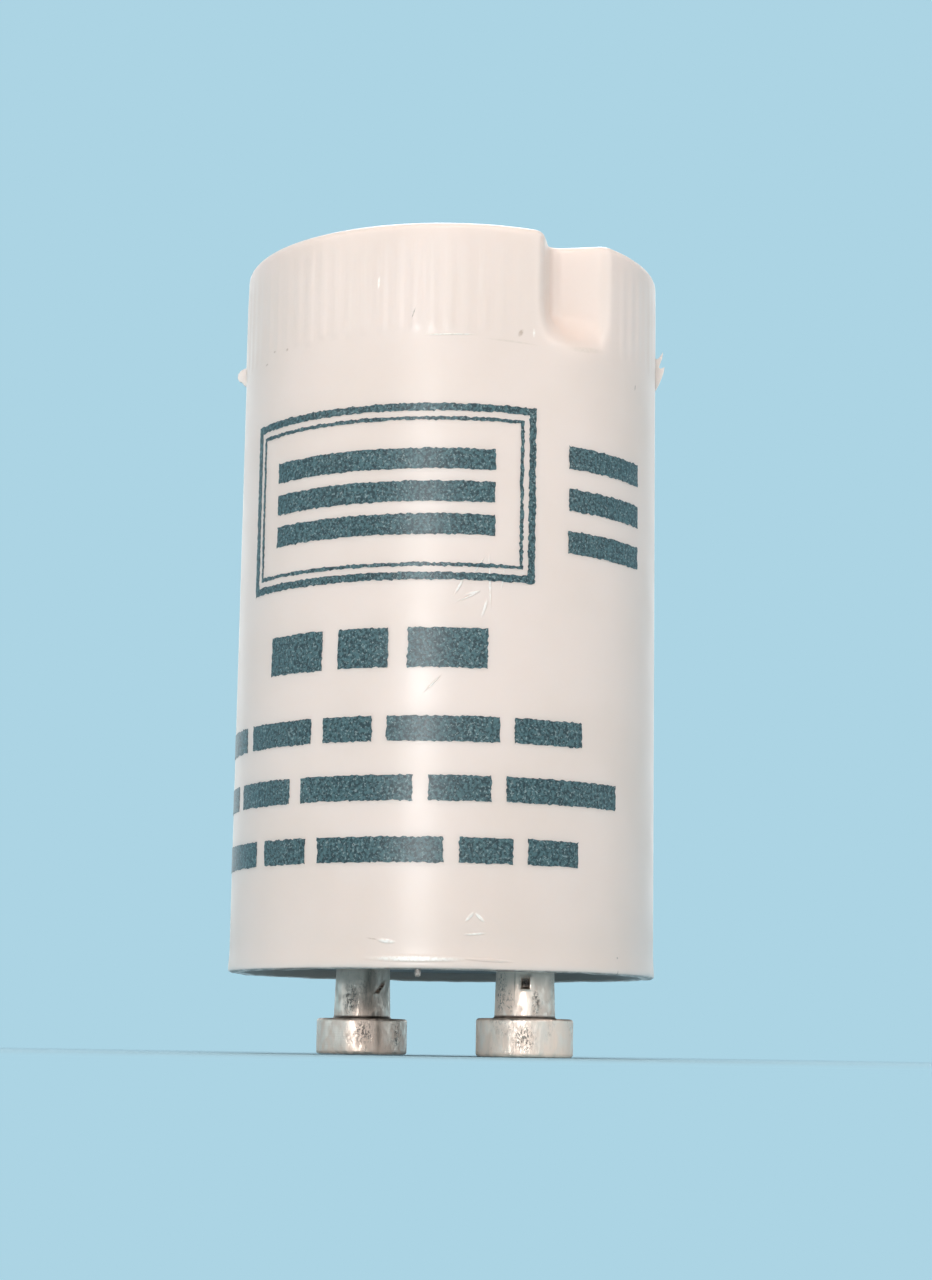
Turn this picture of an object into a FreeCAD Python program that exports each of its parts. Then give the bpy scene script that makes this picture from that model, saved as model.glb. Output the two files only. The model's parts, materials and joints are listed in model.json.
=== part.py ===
import FreeCAD, Part
import math
import os
from types import SimpleNamespace

import Sketcher

# A glow starter for fluorescent lamps, standing on the flat ends of its two contact pins.
# Millimetres. +Z runs up the can's axis, +X runs through the pins, and z = 0 is at the pins' ends.

SIZES = {
    # The moulded can
    "can_radius": 10.65,
    "can_height": 36.05,
    "can_wall": 1.05,
    "can_roof": 1.1,
    "can_edge_bevel": 0.3,
    "can_turn": -4.7,
    "mouth_wall": 0.65,
    "bead_relief": 0.2,
    "bead_ramp": 0.3,
    # The fine ribs of the grip band, in one row on each side between the grooves
    "rib_band_height": 5.8,
    "rib_pitch_angle": 4.5,
    "ribs_per_side": 33,
    "rib_root_width": 0.5,
    "rib_crest_width": 0.26,
    "rib_relief": 0.1,
    # The two grip grooves, one over each pin
    "groove_depth": 1.95,
    "groove_opening": 102.0,
    "groove_root_radius": 0.6,
    "groove_lip_radius": 1.2,
    "groove_height": 5.65,
    # The dimple round the place where the moulding gate was
    "gate_dimple_radius": 1.8,
    "gate_dimple_depth": 0.25,
    # The insulating disc in the mouth
    "disc_recess": 0.45,
    "disc_thickness": 1.6,
    "disc_clearance": 0.05,
    # The contact pins
    "pin_pitch": 12.7,
    "pin_projection": 3.95,
    "pin_head_radius": 2.35,
    "pin_head_height": 1.83,
    "pin_edge_bevel": 0.12,
    "pin_shank_radius": 1.47,
    "pin_shank_taper": 0.07,
    "pin_neck_radius": 1.15,
    "pin_neck_clearance": 0.02,
    "pin_flange_radius": 1.75,
    "pin_flange_thickness": 0.35,
    "pin_bore_radius": 0.78,
    "pin_bore_floor": 1.1,
    "stake_width": 0.42,
    "stake_height": 0.52,
    "stake_depth": 0.35,
    "stake_below_disc": 0.9,
    "right_stake_turn": 49.0,
    "left_stake_turn": 92.0,
    # The glow lamp, whose radius is a share of the can's bore
    "wall_gap": 1.2,
    "bulb_share": 0.4375,
    "bulb_glass": 0.6,
    "bulb_straight": 15.0,
    "tip_radius": 1.0,
    "tip_height": 1.6,
    "flare_thickness": 0.7,
    "stem_radius": 2.3,
    "stem_glass": 0.5,
    "stem_height": 4.0,
    "press_width": 5.4,
    "press_thickness": 2.0,
    "press_height": 4.0,
    "press_overlap": 0.6,
    "bulb_wire_radius": 0.28,
    "bulb_wire_spacing": 2.4,
    "electrode_height": 7.5,
    "post_height": 2.6,
    "strip_thickness": 0.2,
    "strip_width": 1.6,
    "strip_rise": 5.6,
    "strip_free_leg": 2.6,
    "strip_weld_length": 1.5,
    "contact_gap": 0.35,
    # The capacitor, whose winding takes another share of the bore
    "winding_share": 0.26,
    "winding_length": 11.0,
    "wrap_thickness": 0.2,
    "seal_thickness": 1.0,
    "capacitor_wire_radius": 0.25,
    "sleeve_thickness": 0.25,
    "sleeve_length": 10.0,
    "sleeve_clear": 0.4,
    # The wires between these and the pins
    "wire_spread": 0.38,
    "wire_rise": 0.8,
    "wire_slope_rise": 2.0,
    "loop_bend": 1.0,
    "wire_tail": 0.6,
    "wire_floor_gap": 0.2,
    "small_fit": 0.02,
}


def as_size(thing):
    if isinstance(thing, Size):
        return thing
    return Size(float(thing), repr(float(thing)))


class Size:
    """A dimension, as its number and as the expression that gives it from the sheet."""

    def __init__(self, number, text):
        self.number = number
        self.text = text

    def __add__(self, other):
        other = as_size(other)
        return Size(self.number + other.number, f"({self.text} + {other.text})")

    def __sub__(self, other):
        other = as_size(other)
        return Size(self.number - other.number, f"({self.text} - {other.text})")

    def __mul__(self, other):
        other = as_size(other)
        return Size(self.number * other.number, f"({self.text} * {other.text})")

    def __truediv__(self, other):
        other = as_size(other)
        return Size(self.number / other.number, f"({self.text} / {other.text})")

    def __neg__(self):
        return as_size(0) - self


def sine(angle):
    return Size(math.sin(math.radians(angle.number)), f"sin({angle.text})")


def cosine(angle):
    return Size(math.cos(math.radians(angle.number)), f"cos({angle.text})")


def hypotenuse(x, y):
    return Size(math.hypot(x.number, y.number), f"hypot({x.text}; {y.text})")


def arcsine(ratio):
    return Size(math.degrees(math.asin(ratio.number)), f"(asin({ratio.text}) / 1 deg)")


def heading(x, y):
    return Size(math.degrees(math.atan2(y.number, x.number)), f"(atan2({y.text}; {x.text}) / 1 deg)")


def leg(long_side, short_side):
    square = long_side * long_side - short_side * short_side
    return Size(math.sqrt(square.number), f"sqrt({square.text})")


ZERO = as_size(0)
TWICE = as_size(2)
FULL_TURN = as_size(360)
UPRIGHT = FreeCAD.Vector(0, 0, 1)
# A sketch's own numbers for its origin, its axes and an edge's points
HORIZONTAL_AXIS, VERTICAL_AXIS = range(-1, -3, -1)
ORIGIN = HORIZONTAL_AXIS
START, END, CENTRE = range(1, 4)
# What counts as the same place, and as no change of volume
SAME_PLACE = 1e-5
SAME_VOLUME = 1e-4

doc = FreeCAD.newDocument("GlowStarter")
sheet = doc.addObject("Spreadsheet::Sheet", "Sizes")
for row, (name, number) in enumerate(SIZES.items(), 1):
    sheet.set(f"A{row}", name)
    sheet.set(f"B{row}", str(number))
    sheet.setAlias(f"B{row}", name)
doc.recompute()
size = SimpleNamespace(**{name: Size(float(number), f"Sizes.{name}") for name, number in SIZES.items()})

# Heights and radii that several pieces share
can_bore = size.can_radius - size.can_wall
mouth_radius = size.can_radius - size.mouth_wall
disc_seat = size.disc_recess + size.disc_thickness
disc_bottom = size.pin_projection + size.disc_recess
disc_top = disc_bottom + size.disc_thickness
pin_top = disc_top + size.pin_flange_thickness
pin_place = size.pin_pitch / 2
wire_foot = size.pin_bore_floor + size.wire_floor_gap
wire_level = pin_top + size.wire_rise
wire_upturn = wire_level + size.wire_slope_rise
bulb_base = wire_upturn + size.wire_tail
bulb_radius = can_bore * size.bulb_share
bulb_place = can_bore - size.wall_gap - bulb_radius
press_base = bulb_base + size.stem_height - size.press_overlap
press_middle = press_base + size.press_height / 2
bulb_wire_place = size.bulb_wire_spacing / 2
winding_radius = can_bore * size.winding_share
wrap_bore = winding_radius + size.small_fit
wrap_radius = wrap_bore + size.wrap_thickness
capacitor_place = can_bore - size.wall_gap - wrap_radius
capacitor_base = wire_upturn + size.wire_tail
winding_base = capacitor_base + size.seal_thickness
winding_top = winding_base + size.winding_length
capacitor_top = winding_top + size.seal_thickness
wire_hole = size.capacitor_wire_radius + size.small_fit
sleeve_radius = wire_hole + size.sleeve_thickness


def make_body(label, x=ZERO, y=ZERO, z=ZERO, turn=ZERO):
    body = doc.addObject("PartDesign::Body", label)
    body.Label = label
    spin = FreeCAD.Rotation(UPRIGHT, turn.number)
    body.Placement = FreeCAD.Placement(FreeCAD.Vector(x.number, y.number, z.number), spin)
    for axis, place in (("x", x), ("y", y), ("z", z)):
        body.setExpression(f"Placement.Base.{axis}", place.text)
    if turn.number:
        body.setExpression("Placement.Rotation.Angle", turn.text)
    return body


def origin_feature(body, role):
    for feature in body.Origin.OriginFeatures:
        if feature.Role == role:
            return feature


def make_sketch(body, name, plane="XY_Plane", height=ZERO):
    sketch = body.newObject("Sketcher::SketchObject", name)
    sketch.AttachmentSupport = (origin_feature(body, plane), [""])
    sketch.MapMode = "FlatFace"
    sketch.AttachmentOffset = FreeCAD.Placement(FreeCAD.Vector(0, 0, height.number), FreeCAD.Rotation())
    sketch.setExpression("AttachmentOffset.Base.z", height.text)
    return sketch


def bind(sketch, constraint, text):
    index = sketch.addConstraint(constraint)
    sketch.setExpression(f"Constraints[{index}]", text)


def locate(sketch, edge, point, x, y):
    """Ties a point of the sketch to its two coordinates."""
    for kind, axis, place in (("DistanceX", VERTICAL_AXIS, x), ("DistanceY", HORIZONTAL_AXIS, y)):
        if place.number == 0:
            sketch.addConstraint(Sketcher.Constraint("PointOnObject", edge, point, axis))
        elif place.number > 0:
            ends = (ORIGIN, START, edge, point)
            bind(sketch, Sketcher.Constraint(kind, *ends, place.number), place.text)
        else:
            ends = (edge, point, ORIGIN, START)
            bind(sketch, Sketcher.Constraint(kind, *ends, -place.number), f"-({place.text})")


def arc_through(start, end, radius, centre_on_left):
    """The shorter arc between start and end, with its centre on that side of the way there."""
    middle = (start + end) * 0.5
    along = end - start
    side = FreeCAD.Vector(-along.y, along.x, 0).normalize()
    rise = math.sqrt(max(radius * radius - along.Length ** 2 / 4, 0))
    centre = middle + side * (rise if centre_on_left else -rise)
    first, last = (start, end) if centre_on_left else (end, start)
    angles = [math.atan2(point.y - centre.y, point.x - centre.x) for point in (first, last)]
    return Part.ArcOfCircle(Part.Circle(centre, UPRIGHT, radius), *angles)


def draw(sketch, corners, closed=True):
    """Draws an outline through its corners. A corner is (x, y), reached by a straight line, or
    (x, y, radius, side), reached by an arc whose centre lies on that side of the way round."""
    count = len(corners)
    points = [FreeCAD.Vector(corner[0].number, corner[1].number, 0) for corner in corners]
    tail = []
    head = []
    for step in range(count if closed else count - 1):
        goal = (step + 1) % count
        corner = corners[goal]
        if len(corner) == 2:
            edge = sketch.addGeometry(Part.LineSegment(points[step], points[goal]))
            ends = (START, END)
        else:
            radius, side = corner[2:]
            arc = arc_through(points[step], points[goal], radius.number, side == "left")
            edge = sketch.addGeometry(arc)
            bind(sketch, Sketcher.Constraint("Radius", edge, radius.number), radius.text)
            ends = (START, END) if side == "left" else (END, START)
        tail.append((edge, ends[0]))
        head.append((edge, ends[1]))
    for step in range(len(tail)):
        if closed or step > 0:
            sketch.addConstraint(Sketcher.Constraint("Coincident", *head[step - 1], *tail[step]))
    for step, start in enumerate(tail):
        locate(sketch, *start, *corners[step][:2])
    if not closed:
        locate(sketch, *head[-1], *corners[-1][:2])


def draw_circle(sketch, x, y, radius):
    centre = FreeCAD.Vector(x.number, y.number, 0)
    edge = sketch.addGeometry(Part.Circle(centre, UPRIGHT, radius.number))
    bind(sketch, Sketcher.Constraint("Radius", edge, radius.number), radius.text)
    locate(sketch, edge, CENTRE, x, y)


def revolve(body, name, corners):
    sketch = make_sketch(body, f"{name}_section", "XZ_Plane")
    draw(sketch, corners)
    turned = body.newObject("PartDesign::Revolution", name)
    turned.Profile = sketch
    turned.ReferenceAxis = (sketch, ["V_Axis"])
    turned.setExpression("Angle", FULL_TURN.text)
    return turned


def pad(body, name, sketch, length, both_ways=False):
    raised = body.newObject("PartDesign::Pad", name)
    raised.Profile = sketch
    raised.setExpression("Length", length.text)
    raised.Midplane = both_ways
    return raised


def pocket(body, name, sketch, depth, outward=False):
    sunk = body.newObject("PartDesign::Pocket", name)
    sunk.Profile = sketch
    sunk.setExpression("Length", depth.text)
    sunk.Reversed = outward
    return sunk


def repeat(body, name, feature, count=TWICE, angle=FULL_TURN):
    """Repeats a feature round the body's own vertical axis, over the whole angle."""
    pattern = body.newObject("PartDesign::PolarPattern", name)
    pattern.Originals = [feature]
    pattern.Axis = (origin_feature(body, "Z_Axis"), [""])
    pattern.setExpression("Angle", angle.text)
    pattern.setExpression("Occurrences", count.text)
    body.Tip = pattern
    return pattern


def edges_of(feature, wanted):
    edges = enumerate(feature.Shape.Edges, 1)
    return [f"Edge{number}" for number, edge in edges if wanted(edge)]


def bevel_edges(body, name, feature, wanted, width):
    doc.recompute()
    bevelled = body.newObject("PartDesign::Chamfer", name)
    bevelled.Base = (feature, edges_of(feature, wanted))
    bevelled.setExpression("Size", width.text)
    return bevelled


def same(measured, stated):
    return abs(measured - stated.number) < SAME_PLACE


def is_ring(edge, radius, height):
    """Tells the circular edge of that radius at that height."""
    round_edge = isinstance(edge.Curve, Part.Circle)
    return round_edge and same(edge.Curve.Radius, radius) and same(edge.BoundBox.ZMin, height)


# The can

def draw_groove(sketch):
    """The groove's section, on the X axis: a rounded root, two slanting walls, and lips that run
    smoothly into the can's outside. It is closed beyond the ribs, one groove depth further out."""
    slant = size.groove_opening / 2
    root_radius = size.groove_root_radius
    lip_radius = size.groove_lip_radius
    reach = size.can_radius + size.groove_depth
    root_centre = size.can_radius - size.groove_depth + root_radius
    apex = root_centre - root_radius / sine(slant)
    lip_centre_radius = size.can_radius - lip_radius
    lean = (lip_radius - apex * sine(slant)) / lip_centre_radius
    lip_angle = slant + arcsine(lean)
    root_x = root_centre - root_radius * sine(slant)
    root_y = root_radius * cosine(slant)
    lip_x = lip_centre_radius * cosine(lip_angle)
    lip_y = lip_centre_radius * sine(lip_angle)
    wall_x = lip_x + lip_radius * sine(slant)
    wall_y = lip_y - lip_radius * cosine(slant)
    end_x = size.can_radius * cosine(lip_angle)
    end_y = size.can_radius * sine(lip_angle)
    out_x = reach * cosine(lip_angle)
    out_y = reach * sine(lip_angle)
    draw(sketch, [
        (root_x, root_y),
        (root_x, -root_y, root_radius, "left"),
        (wall_x, -wall_y),
        (end_x, -end_y, lip_radius, "right"),
        (out_x, -out_y),
        (out_x, out_y),
        (end_x, end_y),
        (wall_x, wall_y, lip_radius, "right"),
    ])


def draw_groove_back(sketch):
    """The section of the wall that follows the groove inside the can. Its back is one wall
    away from the groove, and its front ends in the middle of the can's wall."""
    slant = size.groove_opening / 2
    back_radius = size.groove_root_radius + size.can_wall
    root_centre = size.can_radius - size.groove_depth + size.groove_root_radius
    apex = root_centre - back_radius / sine(slant)
    front_radius = size.can_radius - size.can_wall / 2
    lean = apex * sine(slant) / front_radius
    front_angle = slant - arcsine(lean)
    root_x = root_centre - back_radius * sine(slant)
    root_y = back_radius * cosine(slant)
    front_x = front_radius * cosine(front_angle)
    front_y = front_radius * sine(front_angle)
    draw(sketch, [
        (root_x, root_y),
        (root_x, -root_y, back_radius, "left"),
        (front_x, -front_y),
        (front_x, front_y, front_radius, "left"),
    ])


def make_can():
    body = make_body("can", z=size.pin_projection, turn=size.can_turn)
    dimple_floor = size.can_height - size.gate_dimple_depth
    revolve(body, "shell", [
        (mouth_radius, ZERO),
        (size.can_radius, ZERO),
        (size.can_radius, size.can_height),
        (size.gate_dimple_radius, size.can_height),
        (size.gate_dimple_radius, dimple_floor),
        (ZERO, dimple_floor),
        (ZERO, size.can_height - size.can_roof),
        (can_bore, size.can_height - size.can_roof),
        (can_bore, disc_seat),
        (mouth_radius, disc_seat),
        (mouth_radius, size.disc_recess),
        (mouth_radius - size.bead_relief, size.disc_recess),
        (mouth_radius, size.disc_recess - size.bead_ramp),
    ])

    groove_floor = size.can_height - size.groove_height
    back_sketch = make_sketch(body, "groove_back_section", height=groove_floor - size.can_wall)
    draw_groove_back(back_sketch)
    back_height = size.groove_height + size.can_wall - size.can_roof / 2
    repeat(body, "groove_backs", pad(body, "groove_back", back_sketch, back_height))

    groove_sketch = make_sketch(body, "groove_section", height=size.can_height)
    draw_groove(groove_sketch)
    groove = pocket(body, "groove", groove_sketch, size.groove_height)
    grooves = repeat(body, "grooves", groove)

    def is_top_edge(edge):
        box = edge.BoundBox
        dimple_edge = is_ring(edge, size.gate_dimple_radius, size.can_height)
        return same(box.ZMin, size.can_height) and same(box.ZMax, size.can_height) and not dimple_edge

    bevel_edges(body, "top_edge", grooves, is_top_edge, size.can_edge_bevel)

    span = size.rib_pitch_angle * (size.ribs_per_side - 1)
    band_base = size.can_height - size.rib_band_height
    rib_height = size.rib_band_height - size.can_edge_bevel
    rib_root = size.can_radius - size.rib_relief
    rib_crest = size.can_radius + size.rib_relief
    for side, middle in (("back", FULL_TURN / 4), ("front", FULL_TURN * 3 / 4)):
        rib_sketch = make_sketch(body, f"{side}_rib_section", height=band_base)
        first = middle - span / 2
        rib_sketch.AttachmentOffset.Rotation = FreeCAD.Rotation(UPRIGHT, first.number)
        rib_sketch.setExpression("AttachmentOffset.Rotation.Angle", first.text)
        draw(rib_sketch, [
            (rib_root, -size.rib_root_width / 2),
            (size.can_radius, -size.rib_root_width / 2),
            (rib_crest, -size.rib_crest_width / 2),
            (rib_crest, size.rib_crest_width / 2),
            (size.can_radius, size.rib_root_width / 2),
            (rib_root, size.rib_root_width / 2),
        ])
        rib = pad(body, f"{side}_rib", rib_sketch, rib_height)
        repeat(body, f"{side}_ribs", rib, size.ribs_per_side, span)
    return body


# The disc and the pins

def make_disc():
    body = make_body("base_disc", z=disc_bottom)
    sketch = make_sketch(body, "disc_section")
    draw_circle(sketch, ZERO, ZERO, mouth_radius - size.disc_clearance)
    hole_radius = size.pin_neck_radius + size.pin_neck_clearance
    draw_circle(sketch, pin_place, ZERO, hole_radius)
    draw_circle(sketch, -pin_place, ZERO, hole_radius)
    pad(body, "disc", sketch, size.disc_thickness)
    return body


def make_pin(label, place, stake_turn, stake_corners):
    """A headed, hollow pin, riveted over the disc, with the stake dent that grips its wires."""
    body = make_body(label, x=place)
    shank_top = size.pin_shank_radius - size.pin_shank_taper
    turned = revolve(body, f"{label}_turned", [
        (ZERO, ZERO),
        (size.pin_head_radius, ZERO),
        (size.pin_head_radius, size.pin_head_height),
        (size.pin_shank_radius, size.pin_head_height),
        (shank_top, disc_bottom),
        (size.pin_neck_radius, disc_bottom),
        (size.pin_neck_radius, disc_top),
        (size.pin_flange_radius, disc_top),
        (size.pin_flange_radius, pin_top),
        (size.pin_bore_radius, pin_top),
        (size.pin_bore_radius, size.pin_bore_floor),
        (ZERO, size.pin_bore_floor),
    ])

    def is_head_edge(edge):
        lower = is_ring(edge, size.pin_head_radius, ZERO)
        return lower or is_ring(edge, size.pin_head_radius, size.pin_head_height)

    bevel_edges(body, f"{label}_edges", turned, is_head_edge, size.pin_edge_bevel)

    stake_floor = shank_top - size.stake_depth
    sketch = make_sketch(body, f"{label}_stake_section", "XZ_Plane", stake_floor * cosine(stake_turn))
    sketch.AttachmentOffset.Rotation = FreeCAD.Rotation(FreeCAD.Vector(0, 1, 0), stake_turn.number)
    sketch.setExpression("AttachmentOffset.Rotation.Angle", stake_turn.text)
    sketch.setExpression("AttachmentOffset.Base.x", (stake_floor * sine(stake_turn)).text)
    middle = disc_bottom - size.stake_below_disc
    half_width = size.stake_width / 2
    half_height = size.stake_height / 2
    draw(sketch, [(half_width * x, middle + half_height * y) for x, y in stake_corners])
    pocket(body, f"{label}_stake", sketch, size.stake_depth * 2, outward=True)
    return body


# The glow lamp

DOME_STEPS = 2


def dome(radius, angles):
    """Corners on a dome that rises from the top of the lamp's straight wall."""
    return [(radius * cosine(angle), size.bulb_straight + radius * sine(angle)) for angle in angles]


def make_envelope():
    """A glass tube with a domed end, drawn in flat steps, and the tip where it was sealed off."""
    body = make_body("bulb_envelope", y=bulb_place, z=bulb_base + size.flare_thickness)
    bore = bulb_radius - size.bulb_glass
    tip_root = size.bulb_straight + leg(bulb_radius, size.tip_radius)
    angles = [FULL_TURN * step / DOME_STEPS / 4 for step in range(DOME_STEPS)]
    revolve(body, "envelope", [
        (bore, ZERO),
        (bulb_radius, ZERO),
        *dome(bulb_radius, angles),
        (size.tip_radius, tip_root),
        (size.tip_radius / 2, tip_root + size.tip_height * 2 / 3),
        (ZERO, tip_root + size.tip_height),
        (ZERO, size.bulb_straight + bore),
        *reversed(dome(bore, angles)),
    ])
    return body


def make_stem():
    """The flared glass tube whose upper end is pressed flat round the two wires."""
    body = make_body("bulb_stem", y=bulb_place, z=bulb_base)
    bore = size.stem_radius - size.stem_glass
    revolve(body, "flared_tube", [
        (bore, ZERO),
        (bulb_radius, ZERO),
        (bulb_radius, size.flare_thickness),
        (size.stem_radius, size.flare_thickness),
        (size.stem_radius, size.stem_height),
        (bore, size.stem_height),
    ])
    press_sketch = make_sketch(body, "press_section", height=size.stem_height - size.press_overlap)
    half_width = size.press_width / 2
    half_depth = size.press_thickness / 2
    flat = half_width - half_depth
    draw(press_sketch, [
        (-flat, -half_depth, half_depth, "left"),
        (flat, -half_depth),
        (half_width, ZERO, half_depth, "left"),
        (flat, half_depth, half_depth, "left"),
        (-flat, half_depth),
        (-half_width, ZERO, half_depth, "left"),
    ])
    pad(body, "press", press_sketch, size.press_height)
    wire_sketch = make_sketch(body, "wire_holes_section", height=size.stem_height - size.press_overlap)
    for place in (bulb_wire_place, -bulb_wire_place):
        draw_circle(wire_sketch, place, ZERO, size.bulb_wire_radius + size.small_fit)
    pocket(body, "wire_holes", wire_sketch, size.press_height, outward=True)
    return body


def make_rod(label, place, length):
    """A straight wire on the lamp's own X axis, from the middle of the press upwards."""
    body = make_body(label, x=place, y=bulb_place, z=press_middle)
    sketch = make_sketch(body, f"{label}_section")
    draw_circle(sketch, ZERO, ZERO, size.bulb_wire_radius)
    pad(body, f"{label}_wire", sketch, length)
    return body


def make_strip():
    """The hairpin strip. One leg is welded along its post, and the other hangs free, a contact
    gap away from the fixed electrode."""
    body = make_body("bimetal_strip", x=-bulb_wire_place, y=bulb_place, z=press_middle)
    near_face = size.bulb_wire_radius
    far_face = size.bulb_wire_spacing - size.bulb_wire_radius - size.contact_gap
    outer_bend = (far_face - near_face) / 2
    inner_bend = outer_bend - size.strip_thickness
    middle = near_face + outer_bend
    rise = size.press_height / 2 + size.strip_rise
    weld_end = size.press_height / 2 + size.post_height - size.strip_weld_length
    sketch = make_sketch(body, "strip_section", "XZ_Plane")
    draw(sketch, [
        (near_face, weld_end),
        (near_face, rise),
        (middle, rise + outer_bend, outer_bend, "right"),
        (far_face, rise, outer_bend, "right"),
        (far_face, rise - size.strip_free_leg),
        (far_face - size.strip_thickness, rise - size.strip_free_leg),
        (far_face - size.strip_thickness, rise),
        (middle, rise + inner_bend, inner_bend, "left"),
        (near_face + size.strip_thickness, rise, inner_bend, "left"),
        (near_face + size.strip_thickness, weld_end),
    ])
    pad(body, "strip", sketch, size.strip_width, both_ways=True)
    return body


# The wires, each drawn in the upright plane through its foot in a pin and its goal

def make_wire(label, foot, goal, radius, route):
    """A wire from the bore of a pin to its goal. The route gives its corners from the distance
    between the two, in the plane that holds both."""
    run_x = goal[0] - foot[0]
    run_y = goal[1] - foot[1]
    body = make_body(label, x=foot[0], y=foot[1], turn=heading(run_x, run_y))
    path = make_sketch(body, f"{label}_path", "XZ_Plane")
    draw(path, route(hypotenuse(run_x, run_y)), closed=False)
    section = make_sketch(body, f"{label}_section", height=wire_foot)
    draw_circle(section, ZERO, ZERO, radius)
    doc.recompute()
    swept = body.newObject("PartDesign::AdditivePipe", f"{label}_sweep")
    swept.Profile = section
    swept.Spine = (path, [f"Edge{number}" for number in range(1, len(path.Shape.Edges) + 1)])
    swept.Transition = "Right corner"
    return body


def climb(reach):
    """Out of the pin, and on a slope to below the goal: the first corners of every wire."""
    return [
        (ZERO, wire_foot),
        (ZERO, wire_level),
        (reach, wire_upturn),
    ]


loop_width = wrap_radius + sleeve_radius + size.sleeve_clear
left_wire_foot = (-pin_place, -size.wire_spread)
right_wire_foot = (pin_place, -size.wire_spread)
capacitor_axis = (ZERO, -capacitor_place)


def make_bulb_wire(label, side):
    foot = (pin_place * side, size.wire_spread)
    goal = (bulb_wire_place * side, bulb_place)

    def route(reach):
        return climb(reach) + [(reach, press_middle)]

    return make_wire(label, foot, goal, size.bulb_wire_radius, route)


def make_lower_wire():
    def route(reach):
        return climb(reach) + [(reach, winding_base)]

    radius = size.capacitor_wire_radius
    return make_wire("capacitor_lead_lower", right_wire_foot, capacitor_axis, radius, route)


def make_upper_wire():
    """This one passes up beside the capacitor, and comes down into its upper end."""
    loop_base = capacitor_top + size.wire_tail
    loop_top = loop_base + size.loop_bend

    def route(reach):
        rise = reach - loop_width
        return climb(rise) + [
            (rise, loop_base),
            (rise + size.loop_bend, loop_top),
            (reach - size.loop_bend, loop_top),
            (reach, loop_base),
            (reach, winding_top),
        ]

    radius = size.capacitor_wire_radius
    return make_wire("capacitor_lead_upper", left_wire_foot, capacitor_axis, radius, route)


def make_sleeve():
    run_x = capacitor_axis[0] - left_wire_foot[0]
    run_y = capacitor_axis[1] - left_wire_foot[1]
    x, y = left_wire_foot
    body = make_body("lead_sleeve", x=x, y=y, z=capacitor_base, turn=heading(run_x, run_y))
    place = hypotenuse(run_x, run_y) - loop_width
    sketch = make_sketch(body, "sleeve_section")
    draw_circle(sketch, place, ZERO, sleeve_radius)
    draw_circle(sketch, place, ZERO, wire_hole)
    pad(body, "sleeve", sketch, size.sleeve_length)
    return body


# The capacitor

def make_round(label, base, height, radius, bore=None):
    """A disc or ring on the capacitor's axis."""
    body = make_body(label, y=-capacitor_place, z=base)
    sketch = make_sketch(body, f"{label}_section")
    draw_circle(sketch, ZERO, ZERO, radius)
    if bore:
        draw_circle(sketch, ZERO, ZERO, bore)
    pad(body, f"{label}_pad", sketch, height)
    return body


def make_capacitor():
    seal = (size.seal_thickness, winding_radius, wire_hole)
    wrap_height = capacitor_top - capacitor_base
    return [
        make_round("capacitor_winding", winding_base, size.winding_length, winding_radius),
        make_round("capacitor_wrap", capacitor_base, wrap_height, wrap_radius, wrap_bore),
        make_round("capacitor_seal_lower", capacitor_base, *seal),
        make_round("capacitor_seal_upper", winding_top, *seal),
    ]


SQUARE = ((-1, -1), (1, -1), (1, 1), (-1, 1))
SLANTED = ((-1, -1), (-0.2, -1), (1, 1), (0.2, 1))

bodies = [
    make_can(),
    make_disc(),
    make_pin("contact_pin_right", pin_place, size.right_stake_turn, SQUARE),
    make_pin("contact_pin_left", -pin_place, size.left_stake_turn, SLANTED),
    make_envelope(),
    make_stem(),
    make_rod("fixed_electrode", bulb_wire_place, size.press_height / 2 + size.electrode_height),
    make_rod("bimetal_post", -bulb_wire_place, size.press_height / 2 + size.post_height),
    make_strip(),
    make_bulb_wire("bulb_lead_right", 1),
    make_bulb_wire("bulb_lead_left", -1),
    *make_capacitor(),
    make_lower_wire(),
    make_upper_wire(),
    make_sleeve(),
]
doc.recompute()


def check(body):
    """Stops at a failed feature, at one that changes nothing, and at a shape that isn't one solid."""
    for feature in body.Group:
        if "Invalid" in feature.State or "Error" in feature.State:
            raise RuntimeError(f"{feature.Label} failed: {feature.State}")
        base = getattr(feature, "BaseFeature", None)
        if base and abs(feature.Shape.Volume - base.Shape.Volume) < SAME_VOLUME:
            raise RuntimeError(f"{feature.Label} changes nothing")
    if body.Shape.isNull() or not body.Shape.isValid() or len(body.Shape.Solids) != 1:
        raise RuntimeError(f"{body.Label} isn't one valid solid")


for item in doc.Objects:
    if "Invalid" in item.State or "Error" in item.State:
        raise RuntimeError(f"{item.Label} failed: {item.State}")
for body in bodies:
    check(body)

os.makedirs("parts", exist_ok=True)
for body in bodies:
    body.Shape.exportStep(f"parts/{body.Label}.step")
    box = body.Shape.BoundBox
    print(f"{body.Label}: {body.Shape.Volume:.3f} mm3, z {box.ZMin:.3f} to {box.ZMax:.3f}")
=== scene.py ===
import json
import math

import bmesh
import bpy
import numpy as np
from mathutils import Matrix, Vector, noise as cell_noise


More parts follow.
